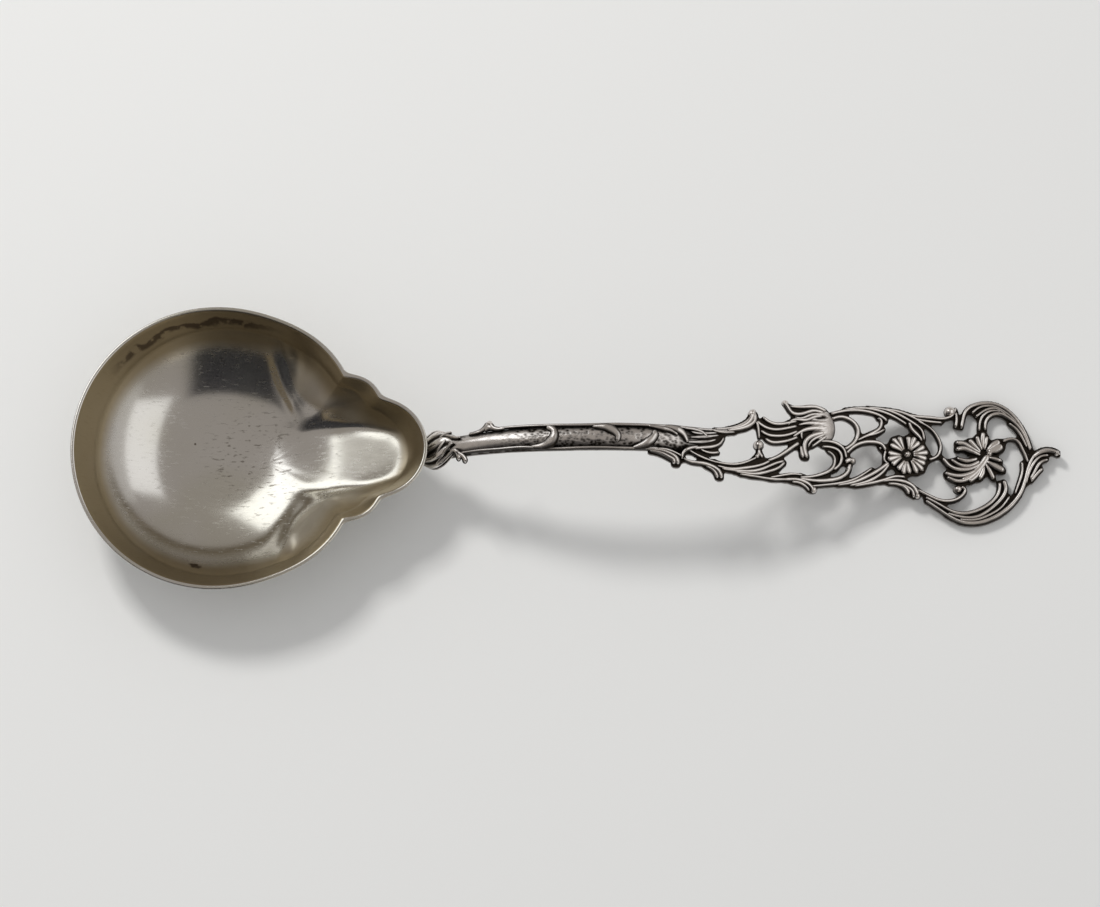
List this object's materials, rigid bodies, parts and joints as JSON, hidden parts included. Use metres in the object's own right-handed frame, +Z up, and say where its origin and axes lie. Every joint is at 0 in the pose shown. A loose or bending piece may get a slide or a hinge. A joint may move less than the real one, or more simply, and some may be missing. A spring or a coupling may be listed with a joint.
{
  "type": "sugar spoon",
  "caption": "Silver sugar spoon with a round scalloped bowl and a pierced, arched handle of scrolls, flowers and a leaf tip.",
  "frame": {"origin": "middle of the small flat under the bowl, on the table", "axes": "+X along the handle from the bowl to the tip, +Z up, +Y to the handle's left seen from above with the tip on the right"},
  "size_m": [0.1527, 0.0444, 0.0203],
  "materials": {
    "silver": "worn polished silver, dark in the recesses"
  },
  "bodies": {
    "root": {"spoon": "silver"}
  },
  "joints": []
}
